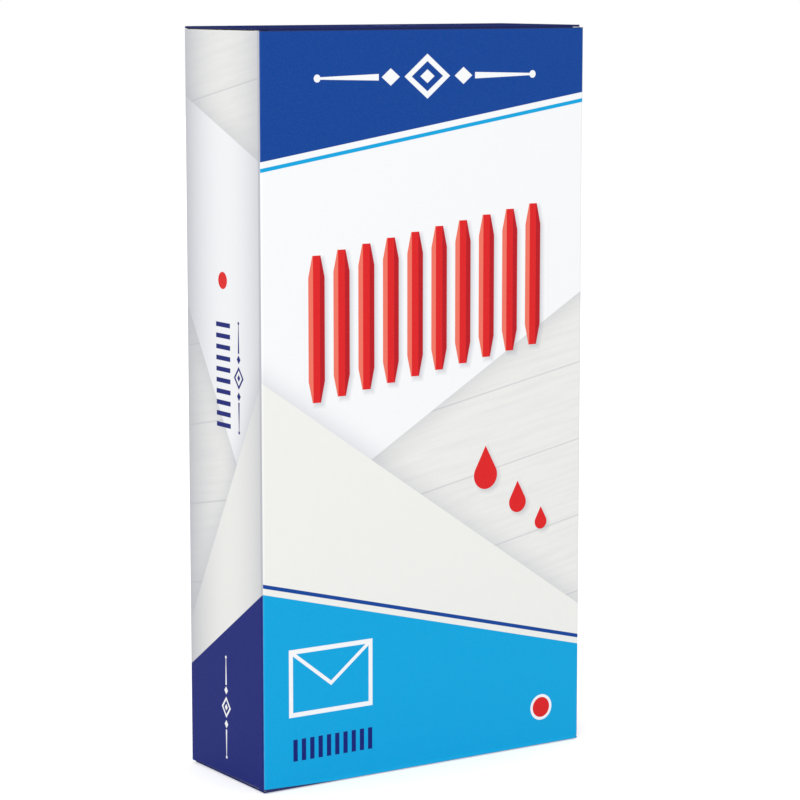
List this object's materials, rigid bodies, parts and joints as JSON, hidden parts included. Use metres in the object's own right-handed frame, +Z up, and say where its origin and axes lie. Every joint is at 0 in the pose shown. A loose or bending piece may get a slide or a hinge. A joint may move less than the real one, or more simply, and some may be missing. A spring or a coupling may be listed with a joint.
{
  "type": "carton of sealing wax sticks",
  "caption": "Upright folding carton of printed board with tuck-in lids at both ends, packed with tapered sticks of red sealing wax.",
  "frame": {"origin": "middle of the carton's footprint, on the surface it stands on", "axes": "+Z up along the carton's height, -Y out of its front wall, +X to the right seen from the front"},
  "size_m": [0.091, 0.034, 0.176],
  "materials": {
    "printed_board": "coated board, printed outside, grey inside",
    "lid_board": "coated board, printed navy outside, grey inside",
    "adhesive": "dried dispersion adhesive",
    "sealing_wax": "hard moulded wax, glossy"
  },
  "bodies": {
    "tube": {"front_panel": "printed_board", "back_panel": "printed_board", "left_side_panel": "printed_board", "right_side_panel": "printed_board", "glue_flap": "printed_board", "glue_line": "adhesive"},
    "top_lid": {"top_lid_panel": "lid_board"},
    "top_tuck": {"top_tuck_flap": "lid_board"},
    "top_left_dust": {"top_left_dust_flap": "lid_board"},
    "top_right_dust": {"top_right_dust_flap": "lid_board"},
    "bottom_lid": {"bottom_lid_panel": "lid_board"},
    "bottom_tuck": {"bottom_tuck_flap": "lid_board"},
    "bottom_left_dust": {"bottom_left_dust_flap": "lid_board"},
    "bottom_right_dust": {"bottom_right_dust_flap": "lid_board"},
    "stick_1": {"stick_1": "sealing_wax"},
    "stick_2": {"stick_2": "sealing_wax"},
    "stick_3": {"stick_3": "sealing_wax"},
    "stick_4": {"stick_4": "sealing_wax"},
    "stick_5": {"stick_5": "sealing_wax"},
    "stick_6": {"stick_6": "sealing_wax"},
    "stick_7": {"stick_7": "sealing_wax"},
    "stick_8": {"stick_8": "sealing_wax"},
    "stick_9": {"stick_9": "sealing_wax"},
    "stick_10": {"stick_10": "sealing_wax"}
  },
  "joints": [
    {"name": "top_lid_fold", "type": "hinge", "parent": "tube", "child": "top_lid", "pos_m": [0, 0.017, 0.176], "axis": [-1, 0, 0], "range_deg": [0, 230]},
    {"name": "top_tuck_fold", "type": "hinge", "parent": "top_lid", "child": "top_tuck", "pos_m": [0, -0.0162, 0.176], "axis": [-1, 0, 0], "range_deg": [0, 34.5]},
    {"name": "top_left_dust_fold", "type": "hinge", "parent": "tube", "child": "top_left_dust", "pos_m": [-0.0455, 0, 0.1753], "axis": [0, -1, 0], "range_deg": [0, 115]},
    {"name": "top_right_dust_fold", "type": "hinge", "parent": "tube", "child": "top_right_dust", "pos_m": [0.0455, 0, 0.1753], "axis": [0, 1, 0], "range_deg": [0, 115]},
    {"name": "bottom_lid_fold", "type": "hinge", "parent": "tube", "child": "bottom_lid", "pos_m": [0, -0.017, 0], "axis": [-1, 0, 0], "range_deg": [0, 230]},
    {"name": "bottom_tuck_fold", "type": "hinge", "parent": "bottom_lid", "child": "bottom_tuck", "pos_m": [0, 0.0162, 0], "axis": [-1, 0, 0], "range_deg": [0, 34.5]},
    {"name": "bottom_left_dust_fold", "type": "hinge", "parent": "tube", "child": "bottom_left_dust", "pos_m": [-0.0455, 0, 0.0007], "axis": [0, 1, 0], "range_deg": [0, 115]},
    {"name": "bottom_right_dust_fold", "type": "hinge", "parent": "tube", "child": "bottom_right_dust", "pos_m": [0.0455, 0, 0.0007], "axis": [0, -1, 0], "range_deg": [0, 115]},
    {"name": "stick_1_slide", "type": "slide", "parent": "tube", "child": "stick_1", "axis": [0, 0, 1], "range_m": [0, 0.0034]},
    {"name": "stick_2_slide", "type": "slide", "parent": "tube", "child": "stick_2", "axis": [0, 0, 1], "range_m": [0, 0.0048]},
    {"name": "stick_3_slide", "type": "slide", "parent": "tube", "child": "stick_3", "axis": [0, 0, 1], "range_m": [0, 0.0048]},
    {"name": "stick_4_slide", "type": "slide", "parent": "tube", "child": "stick_4", "axis": [0, 0, 1], "range_m": [0, 0.0048]},
    {"name": "stick_5_slide", "type": "slide", "parent": "tube", "child": "stick_5", "axis": [0, 0, 1], "range_m": [0, 0.0034]},
    {"name": "stick_6_slide", "type": "slide", "parent": "tube", "child": "stick_6", "axis": [0, 0, 1], "range_m": [0, 0.0034]},
    {"name": "stick_7_slide", "type": "slide", "parent": "tube", "child": "stick_7", "axis": [0, 0, 1], "range_m": [0, 0.0048]},
    {"name": "stick_8_slide", "type": "slide", "parent": "tube", "child": "stick_8", "axis": [0, 0, 1], "range_m": [0, 0.0048]},
    {"name": "stick_9_slide", "type": "slide", "parent": "tube", "child": "stick_9", "axis": [0, 0, 1], "range_m": [0, 0.0048]},
    {"name": "stick_10_slide", "type": "slide", "parent": "tube", "child": "stick_10", "axis": [0, 0, 1], "range_m": [0, 0.0034]}
  ],
  "couplings": [
    {"joint": "top_tuck_fold", "follows": "top_lid_fold", "ratio": 0.15},
    {"joint": "top_left_dust_fold", "follows": "top_lid_fold", "ratio": 0.5},
    {"joint": "top_right_dust_fold", "follows": "top_lid_fold", "ratio": 0.5},
    {"joint": "bottom_tuck_fold", "follows": "bottom_lid_fold", "ratio": 0.15},
    {"joint": "bottom_left_dust_fold", "follows": "bottom_lid_fold", "ratio": 0.5},
    {"joint": "bottom_right_dust_fold", "follows": "bottom_lid_fold", "ratio": 0.5}
  ]
}
